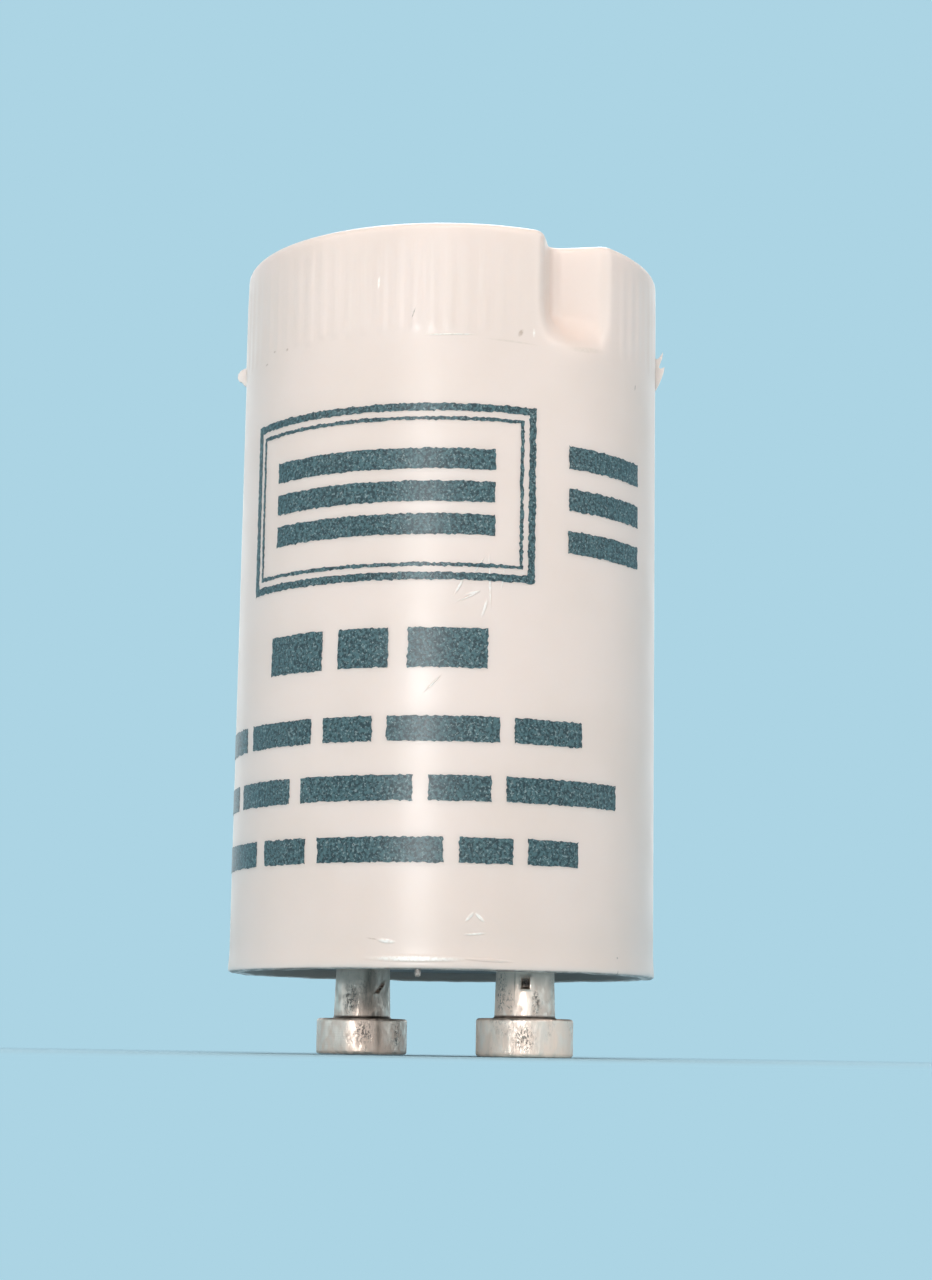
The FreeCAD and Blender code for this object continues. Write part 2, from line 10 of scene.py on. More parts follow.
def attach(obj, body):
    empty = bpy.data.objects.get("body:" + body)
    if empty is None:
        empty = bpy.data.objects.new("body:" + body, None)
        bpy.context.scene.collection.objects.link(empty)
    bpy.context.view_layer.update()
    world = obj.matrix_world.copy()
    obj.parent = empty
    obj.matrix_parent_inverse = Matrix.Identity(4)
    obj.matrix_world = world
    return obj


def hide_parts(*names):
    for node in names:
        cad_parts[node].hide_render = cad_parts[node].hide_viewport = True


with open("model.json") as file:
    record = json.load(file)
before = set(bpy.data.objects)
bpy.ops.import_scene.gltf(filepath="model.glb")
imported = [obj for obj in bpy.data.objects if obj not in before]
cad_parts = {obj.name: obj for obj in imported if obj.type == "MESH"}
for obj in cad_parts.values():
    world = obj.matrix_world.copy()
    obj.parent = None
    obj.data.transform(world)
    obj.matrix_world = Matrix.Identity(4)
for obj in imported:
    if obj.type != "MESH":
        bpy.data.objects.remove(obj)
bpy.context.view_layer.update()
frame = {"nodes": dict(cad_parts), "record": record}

# Sizes in millimetres, in the frame of the model: +Z up the can's axis, +X through the pins.
MM = 0.001
CAN_RADIUS = 10.65
CAN_TURN = math.radians(-4.7)  # how far the grip grooves stand off the line through the pins
RIM = 3.95
TOP = 40.0
EDGE_ROUND = 0.4
WALL = 1.05
ROOF = 1.1
MOUTH = 10.0
DISC_BOTTOM = 4.4
DISC_TOP = 6.0
PIN_PLACE = 6.35
AROUND = 1280  # points in a ring round the can

BACKGROUND = "#ACD4E4"


def linear(code):
    """The linear colour for an sRGB hex value."""
    parts = [int(code[place:place + 2], 16) / 255 for place in (1, 3, 5)]
    return tuple(c / 12.92 if c <= 0.04045 else ((c + 0.055) / 1.055) ** 2.4 for c in parts) + (1.0,)


def set_inputs(tree, node, inputs):
    """Sets inputs of a node, each to a number, a colour or another node's output."""
    for place, value in inputs.items():
        if isinstance(value, bpy.types.NodeSocket):
            tree.links.new(value, node.inputs[place])
        else:
            node.inputs[place].default_value = value


def add_node(tree, kind, inputs=None, **settings):
    node = tree.nodes.new(kind)
    for name, value in settings.items():
        setattr(node, name, value)
    set_inputs(tree, node, inputs or {})
    return node


def maths(tree, operation, *values):
    return add_node(tree, "ShaderNodeMath", dict(enumerate(values)), operation=operation).outputs[0]


def times(tree, first, second):
    return maths(tree, "MULTIPLY", first, second)


def from_axis(tree, x, y):
    """The distance of a point from the can's axis."""
    return maths(tree, "SQRT", maths(tree, "ADD", times(tree, x, x), times(tree, y, y)))


def ranged(tree, value, start, end, first, last):
    """Takes first at start and last at end, with an even curve between them."""
    inputs = {0: value, 1: start, 2: end, 3: first, 4: last}
    return add_node(tree, "ShaderNodeMapRange", inputs, interpolation_type="SMOOTHSTEP").outputs[0]


def random_of(tree, least, most, number, seed):
    """A random value for that whole number, the same on each run."""
    inputs = {2: least, 3: most, 7: number, 8: seed}
    return add_node(tree, "FunctionNodeRandomValue", inputs, data_type="FLOAT").outputs[1]


def smooth(value, start, end):
    """0 before start, 1 after end, and an even curve between them."""
    share = np.clip((np.asarray(value, float) - start) / (end - start), 0, 1)
    return share * share * (3 - 2 * share)


# Meshes

def object_of(name, mesh, material):
    piece = bpy.data.objects.new(name, mesh)
    bpy.context.scene.collection.objects.link(piece)
    mesh.materials.clear()
    mesh.materials.append(material)
    return piece


def shell_mesh(name, rings, start_pole, end_pole, crease):
    """A closed mesh through rings of points in millimetres, with a pole at each end."""
    count = len(rings[0])
    points = np.vstack([*rings, [start_pole], [end_pole]]) * MM
    low, high = len(rings) * count, len(rings) * count + 1
    faces = []
    for level in range(len(rings) - 1):
        here, above = level * count, (level + 1) * count
        for step in range(count):
            after = (step + 1) % count
            faces.append((here + step, here + after, above + after, above + step))
    last = (len(rings) - 1) * count
    for step in range(count):
        after = (step + 1) % count
        faces.append((low, after, step))
        faces.append((high, last + step, last + after))
    mesh = bpy.data.meshes.new(name)
    mesh.from_pydata(points.tolist(), [], faces)
    finish_mesh(mesh, crease)
    return mesh


def finish_mesh(mesh, crease):
    work = bmesh.new()
    work.from_mesh(mesh)
    bmesh.ops.recalc_face_normals(work, faces=work.faces)
    work.to_mesh(mesh)
    work.free()
    mesh.polygons.foreach_set("use_smooth", [True] * len(mesh.polygons))
    mesh.set_sharp_from_angle(angle=math.radians(crease))
    mesh.update()


# The can

GROOVE_DEPTH = 1.95
GROOVE_ROOT = 0.6
GROOVE_LIP = 0.85
GROOVE_SLANT = math.radians(44)


def groove_outline(angle):
    """The can's outer radius in the height of the two grip grooves."""
    offset = np.abs((angle - CAN_TURN + math.pi / 2) % math.pi - math.pi / 2)
    root_centre = CAN_RADIUS - GROOVE_DEPTH + GROOVE_ROOT
    apex = root_centre - GROOVE_ROOT / math.sin(GROOVE_SLANT)
    lip_centre = CAN_RADIUS - GROOVE_LIP
    lip_angle = GROOVE_SLANT + math.asin((GROOVE_LIP - apex * math.sin(GROOVE_SLANT)) / lip_centre)
    sine, cosine = math.sin(GROOVE_SLANT), math.cos(GROOVE_SLANT)
    wall_start = math.atan2(GROOVE_ROOT * cosine, root_centre - GROOVE_ROOT * sine)
    wall_end = math.atan2(lip_centre * math.sin(lip_angle) - GROOVE_LIP * cosine,
                          lip_centre * math.cos(lip_angle) + GROOVE_LIP * sine)
    inside = np.maximum(GROOVE_ROOT ** 2 - (root_centre * np.sin(offset)) ** 2, 0)
    root = root_centre * np.cos(offset) - np.sqrt(inside)
    wall = apex * sine / np.maximum(np.sin(GROOVE_SLANT - offset), 0.1)
    along = lip_centre * np.cos(offset - lip_angle)
    lip = along + np.sqrt(np.maximum(GROOVE_LIP ** 2 - lip_centre ** 2 + along ** 2, 0))
    return np.select([offset < wall_start, offset < wall_end, offset < lip_angle],
                     [root, wall, lip], CAN_RADIUS)


def can_ring(height, inset=0.0, groove=0.0):
    """A ring of points on the can, set in from its outside, with a share of the grooves' depth."""
    angle = np.arange(AROUND) * 2 * math.pi / AROUND
    radius = CAN_RADIUS - (CAN_RADIUS - groove_outline(angle)) * groove
    outline = np.stack([radius * np.cos(angle), radius * np.sin(angle)], 1)
    along = np.roll(outline, -1, 0) - np.roll(outline, 1, 0)
    along /= np.linalg.norm(along, axis=1, keepdims=True)
    outward = np.stack([along[:, 1], -along[:, 0]], 1)
    outline = outline - outward * inset
    return np.column_stack([outline, np.full(AROUND, float(height))])


def round_ring(radius, height):
    angle = np.arange(AROUND) * 2 * math.pi / AROUND
    level = np.full(AROUND, float(height))
    return np.column_stack([radius * np.cos(angle), radius * np.sin(angle), level])


# The rim's waves: size, number round the can, shift
RIM_WAVES = ((0.012, 5, 0.4), (0.010, 11, 2.1), (0.008, 23, 1.3), (0.006, 47, 0.2))


def rim_waves(ring):
    """The trimmed rim isn't quite even: it rises and falls by a few hundredths."""
    angle = np.arctan2(ring[:, 1], ring[:, 0])
    wave = sum(size * np.sin(count * angle + shift) for size, count, shift in RIM_WAVES)
    ring[:, 2] += wave * (1 - smooth(ring[:, 2], RIM, RIM + 0.5))
    return ring


RIB_BAND = 34.2
GROOVE_FLOOR = 34.35
# The grooves run out softly between these heights
GROOVE_START = GROOVE_FLOOR - 0.2
GROOVE_FULL = GROOVE_FLOOR + 2.2
FLARE = 0.052
FLARE_HEIGHT = 1.2
CAN_CREASE = 40
# The rim from inside to outside: height over RIM, inset from the can's radius
RIM_PROFILE = ((0.012, 0.60), (0.0, 0.52), (0.0, 0.09), (0.02, 0.03), (0.06, -0.025), (0.12, -0.048))
# The gate dimple in the top, from outside to inside: radius, height
DIMPLE_PROFILE = ((1.95, 40.0), (1.82, 39.97), (1.72, 39.87), (1.66, 39.78), (1.58, 39.75),
                  (0.62, 39.75), (0.55, 39.77), (0.50, 39.86), (0.42, 39.90), (0.36, 39.88))


def can_rings():
    """The can's rings: under the roof, down the bore, round the rim, up the wall, over the top."""
    inside = [
        can_ring(TOP - ROOF, WALL + 0.3, 1),
        can_ring(TOP - ROOF, WALL, 1),
        can_ring(RIB_BAND - WALL + 0.2, WALL, 1),
        can_ring(RIB_BAND - WALL, WALL, 0),
        # The step over the disc, and the thin bead that holds it from below
        round_ring(CAN_RADIUS - WALL, DISC_TOP),
        round_ring(MOUTH, DISC_TOP),
        round_ring(MOUTH, DISC_BOTTOM),
        round_ring(MOUTH - 0.2, DISC_BOTTOM),
        round_ring(MOUTH - 0.19, DISC_BOTTOM - 0.04),
        round_ring(MOUTH, RIM + 0.15),
        round_ring(MOUTH, RIM + 0.06),
    ]
    rim = [rim_waves(can_ring(RIM + rise, inset)) for rise, inset in RIM_PROFILE]
    flare = [rim_waves(can_ring(RIM + rise, -FLARE * (1 - float(smooth(rise, 0, FLARE_HEIGHT)))))
             for rise in (0.22, 0.35, 0.5, 0.65, 0.8, 0.95, 1.1, 1.25, 1.4)]
    body = [can_ring(height) for height in (8, 14, 20, 26, 31, 33.4)]
    ramp = [can_ring(height, 0, float(smooth(height, GROOVE_START, GROOVE_FULL)))
            for height in np.linspace(GROOVE_START, GROOVE_FULL, 17)]
    band = [can_ring(height, 0, 1) for height in (37.4, 38.4, 38.9, 39.2, 39.45)]
    edge = [can_ring(TOP - EDGE_ROUND * (1 - math.sin(turn)), EDGE_ROUND * (1 - math.cos(turn)), 1)
            for turn in np.linspace(0, math.pi / 2, 7)]
    dimple = [round_ring(radius, height) for radius, height in DIMPLE_PROFILE]
    roof = [edge[-1] + (dimple[0] - edge[-1]) * share for share in (0.06, 0.3, 0.65)]
    return inside + rim + flare + body + ramp + band + edge + roof + dimple


def rib_tree(material):
    """Raises the fine ribs on the can's grip band, at an even pitch between the two grooves."""
    tree = bpy.data.node_groups.new("grip_ribs", "GeometryNodeTree")
    sizes = (
        ("Rib pitch", math.radians(4.5)),
        ("Crest width", 0.10 * MM),
        ("Root width", 0.72 * MM),
        ("Relief", 0.036 * MM),
        ("Least relief", 0.25),
        ("Foot spread", 0.35 * MM),
        ("Can radius", CAN_RADIUS * MM),
        ("Skin depth", 0.3 * MM),
        ("Can turn", CAN_TURN),
        ("Groove margin", math.sin(math.radians(14.3))),
        ("Margin fade", math.sin(math.radians(15.6))),
        ("Band base", (RIB_BAND - 0.05) * MM),
        ("Base fade", 0.4 * MM),
        ("Top fade start", 38.2 * MM),
        ("Top fade end", 39.6 * MM),
    )
    tree.interface.new_socket("Geometry", in_out="INPUT", socket_type="NodeSocketGeometry")
    tree.interface.new_socket("Geometry", in_out="OUTPUT", socket_type="NodeSocketGeometry")
    named = {}
    for name, value in sizes:
        socket = tree.interface.new_socket(name, in_out="INPUT", socket_type="NodeSocketFloat")
        socket.default_value = value
        named[name] = (socket.identifier, value)
    given = add_node(tree, "NodeGroupInput").outputs

    def calc(operation, *values):
        return maths(tree, operation, *values)

    position = add_node(tree, "GeometryNodeInputPosition").outputs[0]
    x, y, z = add_node(tree, "ShaderNodeSeparateXYZ", {0: position}).outputs
    angle = calc("SUBTRACT", calc("ARCTAN2", y, x), given["Can turn"])
    count = calc("DIVIDE", angle, given["Rib pitch"])
    rib = calc("ROUND", count)
    off_rib = calc("ABSOLUTE", calc("SUBTRACT", count, rib))
    distance = calc("MULTIPLY", calc("MULTIPLY", off_rib, given["Rib pitch"]), given["Can radius"])
    crest = calc("DIVIDE", given["Crest width"], 2.0)
    root = calc("DIVIDE", given["Root width"], 2.0)
    shape = ranged(tree, distance, crest, root, 1.0, 0.0)
    across = calc("ABSOLUTE", calc("SINE", angle))
    beside_grooves = ranged(tree, across, given["Groove margin"], given["Margin fade"], 0.0, 1.0)
    foot = calc("ADD", given["Band base"], random_of(tree, 0.0, given["Foot spread"], rib, 1))
    above_foot = ranged(tree, z, foot, calc("ADD", foot, given["Base fade"]), 0.0, 1.0)
    below_top = ranged(tree, z, given["Top fade start"], given["Top fade end"], 1.0, 0.0)
    wear = random_of(tree, given["Least relief"], 1.0, rib, 2)
    for share in (beside_grooves, above_foot, below_top, wear):
        shape = calc("MULTIPLY", shape, share)
    skin = calc("SUBTRACT", given["Can radius"], given["Skin depth"])
    outside = calc("GREATER_THAN", from_axis(tree, x, y), skin)
    rise = calc("MULTIPLY", calc("MULTIPLY", shape, outside), given["Relief"])
    flat = add_node(tree, "ShaderNodeCombineXYZ", {0: x, 1: y, 2: 0.0}).outputs[0]
    outward = add_node(tree, "ShaderNodeVectorMath", {0: flat}, operation="NORMALIZE").outputs[0]
    offset = add_node(tree, "ShaderNodeVectorMath", {0: outward, 3: rise}, operation="SCALE").outputs[0]
    raised = add_node(tree, "GeometryNodeSetPosition", {0: given["Geometry"], 3: offset})
    whole = add_node(tree, "GeometryNodeRealizeInstances", {0: raised.outputs[0]})
    coated = add_node(tree, "GeometryNodeSetMaterial", {0: whole.outputs[0], 2: material})
    add_node(tree, "NodeGroupOutput", {0: coated.outputs[0]})
    return tree, named


def plain_mesh(piece, name):
    """The piece's mesh with its modifiers applied."""
    graph = bpy.context.evaluated_depsgraph_get()
    mesh = bpy.data.meshes.new_from_object(piece.evaluated_get(graph))
    mesh.name = name
    return mesh


def make_can(material):
    poles = (0, 0, TOP - ROOF), (0, 0, DIMPLE_PROFILE[-1][1])
    mesh = shell_mesh("can_shell", can_rings(), *poles, CAN_CREASE)
    piece = object_of("can_shell", mesh, material)
    tree, named = rib_tree(material)
    ribs = piece.modifiers.new("grip_ribs", "NODES")
    ribs.node_group = tree
    for identifier, value in named.values():
        ribs[identifier] = value
    finished = plain_mesh(piece, "can_shell_ribbed")
    piece.modifiers.remove(ribs)
    piece.data = finished
    finished.set_sharp_from_angle(angle=math.radians(CAN_CREASE))
    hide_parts("can")
    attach(piece, "root")


# Flash, thin torn plastic left at the mould's parting lines and at the rim

def fin_mesh(name, outline, angle, thickness):
    """A thin fin in the upright plane at that angle. Its outline is in (radius, height)."""
    across = np.array([-math.sin(angle), math.cos(angle), 0.0])
    out = np.array([math.cos(angle), math.sin(angle), 0.0])
    inner = min(radius for radius, _ in outline)
    reach = max(radius for radius, _ in outline) - inner
    points = []
    for side in (-1, 1):
        for radius, height in outline:
            thin = thickness / 2 * (1.1 - 0.8 * (radius - inner) / reach)
            points.append((out * radius + across * side * thin + np.array([0, 0, height])) * MM)
    count = len(outline)
    faces = [tuple(range(count)), tuple(reversed(range(count, 2 * count)))]
    for step in range(count):
        after = (step + 1) % count
        faces.append((step, after, count + after, count + step))
    mesh = bpy.data.meshes.new(name)
    mesh.from_pydata([tuple(point) for point in points], [], faces)
    finish_mesh(mesh, 30)
    return mesh


# The fins: name, angle, thickness, outline in (radius, height)
FINS = (
    ("flash_left", -127.0, 0.3,
     ((10.60, 35.15), (10.78, 35.12), (10.98, 35.00), (11.10, 34.82), (11.12, 34.62),
      (11.02, 34.45), (10.88, 34.40), (10.76, 34.25), (10.60, 34.15))),
    ("flash_right", 47.0, 0.25,
     ((10.60, 36.10), (10.74, 36.02), (10.86, 36.12), (11.06, 36.42), (11.02, 36.10),
      (10.92, 35.84), (10.84, 35.62), (10.92, 35.52), (11.14, 35.62), (11.10, 35.34),
      (11.00, 35.05), (10.88, 34.75), (10.74, 34.45), (10.60, 34.28))),
    ("flash_rim", -45.9, 0.28,
     ((10.52, 4.02), (10.60, 4.02), (10.62, 3.80), (10.56, 3.62), (10.50, 3.66), (10.47, 3.85))),
)


def make_flash(material):
    for name, angle, thickness, outline in FINS:
        piece = object_of(name, fin_mesh(name, outline, math.radians(angle), thickness), material)
        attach(piece, "root")


# The contact pins, turned and hollow

HEAD_RADIUS = 2.35
HEAD_TOP = 1.83
HEAD_EDGE = 0.15
SHANK_FOOT = 1.47
SHANK_TOP = 1.40
SHANK_START = 1.97
BURR = 0.09
# The neck through the disc, the riveted end over it and the bore: radius, height
RIVETED_END = ((1.15, 4.4), (1.15, 6.0), (1.72, 6.0), (1.75, 6.05), (1.75, 6.27), (1.67, 6.35),
               (0.84, 6.35), (0.78, 6.29), (0.78, 1.1))


def pin_profile():
    """Radius and height up the pin: its head, its shank, its riveted end and its bore."""
    inner, brow_start = HEAD_RADIUS - HEAD_EDGE, HEAD_TOP - HEAD_EDGE
    fillet = SHANK_START - HEAD_TOP
    taper = (SHANK_FOOT - SHANK_TOP) / (DISC_BOTTOM - SHANK_START)
    turns = np.linspace(0, math.pi / 2, 6)
    foot = [(inner + HEAD_EDGE * math.sin(turn), HEAD_EDGE * (1 - math.cos(turn))) for turn in turns]
    side = [(HEAD_RADIUS, height) for height in np.linspace(HEAD_EDGE, brow_start, 14)[1:-1]]
    brow = [(inner + HEAD_EDGE * math.cos(turn), brow_start + HEAD_EDGE * math.sin(turn))
            for turn in turns]
    corner = [(SHANK_FOOT + fillet * (1 - math.sin(turn)), HEAD_TOP + fillet * (1 - math.cos(turn)))
              for turn in turns]
    shank = [(SHANK_FOOT - taper * (height - SHANK_START), height)
             for height in np.linspace(SHANK_START, DISC_BOTTOM, 56)[1:]]
    return [(0.7, 0.0), (1.6, 0.0)] + foot + side + brow + corner + shank + list(RIVETED_END)


def dent(points, centre, middle, height, half_width, half_height, depth, lean):
    """Presses a tool mark into the shank, round an angle in degrees and a height. It leans by that
    much sideways for each unit of height, and has a low burr round it."""
    offset = points[:, :2] - centre
    radius = np.hypot(offset[:, 0], offset[:, 1])
    angle = np.arctan2(offset[:, 1], offset[:, 0])
    up = points[:, 2] - height
    turn = (angle - math.radians(middle) + math.pi) % (2 * math.pi) - math.pi
    near = np.maximum(np.abs(turn * radius - up * lean) / half_width, np.abs(up) / half_height)
    burr = depth * BURR * (smooth(near, 0.95, 1.1) - smooth(near, 1.1, 1.5))
    sunk = depth * (1 - smooth(near, 0.72, 1.0)) - burr
    outer = (radius > 1.3) & (points[:, 2] > 2.1) & (points[:, 2] < DISC_BOTTOM - 0.01)
    share = np.where(outer, (radius - sunk) / np.maximum(radius, 0.01), 1.0)
    points[:, :2] = centre + offset * share[:, None]


def make_pin(node, place, material, *mark):
    """A pin at that place along x, with one dent, given as for dent()."""
    samples = 256
    angle = np.arange(samples) * 2 * math.pi / samples
    profile = pin_profile()
    across, along = np.cos(angle), np.sin(angle)
    points = np.vstack([
        np.column_stack([place + radius * across, radius * along, np.full(samples, height)])
        for radius, height in profile])
    dent(points, np.array([place, 0.0]), *mark)
    rings = np.split(points, len(profile))
    poles = (place, 0, 0), (place, 0, RIVETED_END[-1][1])
    piece = object_of(node + "_turned", shell_mesh(node + "_turned", rings, *poles, 38), material)
    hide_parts(node)
    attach(piece, "root")


# Ink on the can's wall: a plain frame, stripes and rows of dashes, of no meaning

INK_LIFT = 0.018
INK_ROOT = -0.03
INK_STEP = 0.12
INK_RAGGED = 0.075
INK_GRAIN = 0.14
# The two frames: left, right, bottom, top, width of the line. Angles in degrees, heights in mm
INK_FRAMES = ((-103.0, -17.0, 22.3, 30.9, 0.36), (-99.6, -20.4, 22.95, 30.25, 0.17))
# Rows of bars: bottom, top, then where each bar starts and ends
INK_ROWS = (
    # Three stripes in the frame
    (24.5, 25.5, ((-92.0, -28.0),)),
    (26.1, 27.1, ((-92.0, -28.0),)),
    (27.7, 28.7, ((-92.0, -28.0),)),
    # Three short stripes beside it
    (24.0, 25.1, ((-7.0, 22.0),)),
    (26.1, 27.2, ((-7.0, 22.0),)),
    (28.2, 29.3, ((-7.0, 22.0),)),
    # Dashes
    (18.1, 20.0, ((-93.0, -74.0), (-69.0, -55.0), (-50.0, -29.4))),
    (14.6, 15.8, ((-124.0, -106.0), (-102.0, -77.0), (-73.0, -59.0), (-55.0, -26.0), (-22.0, -2.0))),
    (11.8, 13.0, ((-128.0, -112.0), (-108.0, -84.0), (-80.0, -48.0), (-44.0, -28.0), (-24.0, 11.0))),
    (8.9, 10.1, ((-127.0, -98.0), (-94.0, -78.0), (-74.0, -40.0), (-36.0, -22.0), (-18.0, -3.0))),
)


def ragged(along, height):
    """Moves a point of the ink a little, as it has run into the plastic's texture."""
    place = Vector((along / INK_GRAIN, height / INK_GRAIN, 3.7))
    return (along + INK_RAGGED * cell_noise.noise(place),
            height + INK_RAGGED * cell_noise.noise(place + Vector((11.3, 5.1, 0))))


def edge_of(sheet):
    """The points round a sheet of rows, in order."""
    right = [line[-1] for line in sheet[1:-1]]
    left = [line[0] for line in sheet[1:-1]]
    return sheet[0] + right + sheet[-1][::-1] + left[::-1]


def bar(work, start, end, low, high):
    """A thin bar of ink on the can's wall between two angles in degrees and two heights."""
    first, last = (math.radians(angle) * CAN_RADIUS for angle in (start, end))
    columns = max(1, round((last - first) / INK_STEP))
    rows = max(1, round((high - low) / INK_STEP))

    def vertex(row, column, radius):
        along, height = ragged(first + (last - first) * column / columns,
                               low + (high - low) * row / rows)
        angle = along / CAN_RADIUS
        point = Vector((radius * math.cos(angle), radius * math.sin(angle), height))
        return work.verts.new(point * MM)

    sheets = [[[vertex(row, column, CAN_RADIUS + lift) for column in range(columns + 1)]
               for row in range(rows + 1)] for lift in (INK_LIFT, INK_ROOT)]
    for sheet in sheets:
        for here, above in zip(sheet, sheet[1:]):
            for column in range(columns):
                work.faces.new((here[column], here[column + 1], above[column + 1], above[column]))
    top, root = (edge_of(sheet) for sheet in sheets)
    for step in range(len(top)):
        after = (step + 1) % len(top)
        work.faces.new((top[step], top[after], root[after], root[step]))


def frame_of_bars(work, left, right, low, high, width):
    """A rectangle drawn with a line of that width in millimetres."""
    turn = math.degrees(width / CAN_RADIUS)
    bar(work, left, right, low, low + width)
    bar(work, left, right, high - width, high)
    bar(work, left, left + turn, low + width, high - width)
    bar(work, right - turn, right, low + width, high - width)


def make_ink(material):
    work = bmesh.new()
    for sizes in INK_FRAMES:
        frame_of_bars(work, *sizes)
    for low, high, bars in INK_ROWS:
        for start, end in bars:
            bar(work, start, end, low, high)
    mesh = bpy.data.meshes.new("ink_marks")
    work.to_mesh(mesh)
    work.free()
    finish_mesh(mesh, 50)
    piece = object_of("ink_marks", mesh, material)
    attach(piece, "root")


# Materials

def start_material(name):
    """A material with only its shader, its output and the piece's own coordinates in metres."""
    material = bpy.data.materials.new(name)
    material.use_nodes = True
    tree = material.node_tree
    tree.nodes.clear()
    shader = add_node(tree, "ShaderNodeBsdfPrincipled")
    add_node(tree, "ShaderNodeOutputMaterial", {0: shader.outputs[0]})
    place = add_node(tree, "ShaderNodeTexCoord").outputs["Object"]
    return material, tree, shader, place


def noise(tree, place, period, stretch=(1, 1, 1), detail=3.0, roughness=0.5):
    """Cloudy noise with that period in millimetres, stretched along the axes."""
    scale = [1 / (period * MM * factor) for factor in stretch]
    scaled = add_node(tree, "ShaderNodeMapping", {"Vector": place, "Scale": scale})
    inputs = {"Vector": scaled.outputs[0], "Scale": 1.0, "Detail": detail, "Roughness": roughness}
    return add_node(tree, "ShaderNodeTexNoise", inputs).outputs["Fac"]


def mixed(tree, share, first, second):
    made = add_node(tree, "ShaderNodeMix", {"Factor": share, "A": first, "B": second}, data_type="RGBA")
    return made.outputs["Result"]


def bumped(tree, height, depth, after=None):
    """A bump of that depth in millimetres."""
    inputs = {"Height": height, "Strength": 1.0, "Distance": depth * MM}
    if after:
        inputs["Normal"] = after
    return add_node(tree, "ShaderNodeBump", inputs).outputs[0]


def length_of(tree, vector):
    return add_node(tree, "ShaderNodeVectorMath", {0: vector}, operation="LENGTH").outputs["Value"]


def greatest(tree, values):
    """The greatest of some values at each point."""
    whole = values[0]
    for value in values[1:]:
        whole = maths(tree, "MAXIMUM", whole, value)
    return whole


def wall_place(tree, place):
    """How far round the can's wall and up it a point lies, in metres."""
    x, y, z = add_node(tree, "ShaderNodeSeparateXYZ", {0: place}).outputs
    along = maths(tree, "MULTIPLY", maths(tree, "ARCTAN2", y, x), CAN_RADIUS * MM)
    return add_node(tree, "ShaderNodeCombineXYZ", {0: along, 1: z}).outputs[0]


def wall_marks(tree, wall, marks):
    """Soft-edged strokes on the can's wall. Each has an angle, a height, a half length, a half
    width and a turn up from level."""
    made = []
    for angle, height, half_length, half_width, turn in marks:
        centre = (math.radians(angle) * CAN_RADIUS * MM, height * MM, 0)
        local = add_node(tree, "ShaderNodeMapping",
                         {"Vector": wall, "Location": centre, "Rotation": (0, 0, math.radians(turn)),
                          "Scale": (half_length * MM, half_width * MM, 1)}, vector_type="TEXTURE")
        made.append(ranged(tree, length_of(tree, local.outputs[0]), 0.35, 1.0, 1.0, 0.0))
    return greatest(tree, made)


def pin_spots(tree, place, spots):
    """Soft-edged spots on the pins. Each has the pin's side of the base, an angle, a height, a
    radius, and a half size across and up."""
    made = []
    for side, angle, height, radius, across, up in spots:
        turn = math.radians(angle)
        centre = (side * PIN_PLACE + radius * math.cos(turn), radius * math.sin(turn), height)
        halves = (across, across, up)
        moved = add_node(tree, "ShaderNodeMapping",
                         {"Vector": place, "Scale": [1 / (half * MM) for half in halves],
                          "Location": [-middle / half for middle, half in zip(centre, halves)]})
        made.append(ranged(tree, length_of(tree, moved.outputs[0]), 0.2, 1.0, 1.0, 0.0))
    return greatest(tree, made)


# Nicks, stains, painted shadows and painted highlights on scratches and scuffs on the can's wall, as for
# wall_marks()
NICKS_AND_PAINTED_LIGHT = (
    ("#6A6159", ((20.2, 33.23, 0.20, 0.05, 80), (12.3, 4.76, 0.08, 0.07, 0))),
    ("#9A8F85", ((12.3, 4.05, 0.16, 0.04, 80), (-50.0, 35.38, 0.34, 0.035, 72))),
    ("#C6B3A6", ((-21.7, 34.59, 0.27, 0.14, 60), (-90.0, 34.45, 0.14, 0.09, 20),
                 (-95.9, 34.58, 0.16, 0.07, 0), (-100.3, 34.09, 0.18, 0.07, 10),
                 (-57.8, 5.35, 0.34, 0.04, -8))),
    # Painted shadow: a soft patch at a groove's foot and a thin line along the base of the rib band
    ("#E0D2C8", ((-1.5, 34.30, 1.5, 0.20, 7), (-24.0, 34.12, 1.6, 0.07, -2))),
    # Painted highlights: white strokes on scratches and raised scuffs, on the crease under the rib band
    # and along the bead above the rim
    ("#FFFAF4", ((-59.6, 37.0, 0.38, 0.08, 86), (-18.0, 34.67, 0.28, 0.08, 90),
                 (-29.1, 22.3, 1.50, 0.06, 92), (-25.6, 22.5, 0.60, 0.05, 82),
                 (-32.4, 22.9, 0.70, 0.05, 58), (-43.4, 17.3, 0.60, 0.04, 46),
                 (-37.0, 22.0, 0.45, 0.07, 62), (-33.4, 21.7, 0.40, 0.08, 18),
                 (-30.4, 21.0, 0.50, 0.08, 74), (-34.6, 21.5, 0.70, 0.04, 26),
                 (-54.0, 5.25, 0.50, 0.13, -6), (-33.0, 6.42, 0.38, 0.10, 48),
                 (-30.4, 6.38, 0.36, 0.10, -42), (-31.6, 5.62, 0.60, 0.07, 5),
                 (-40.4, 34.32, 1.5, 0.05, 1), (-46.5, 4.44, 2.6, 0.17, 0))),
)
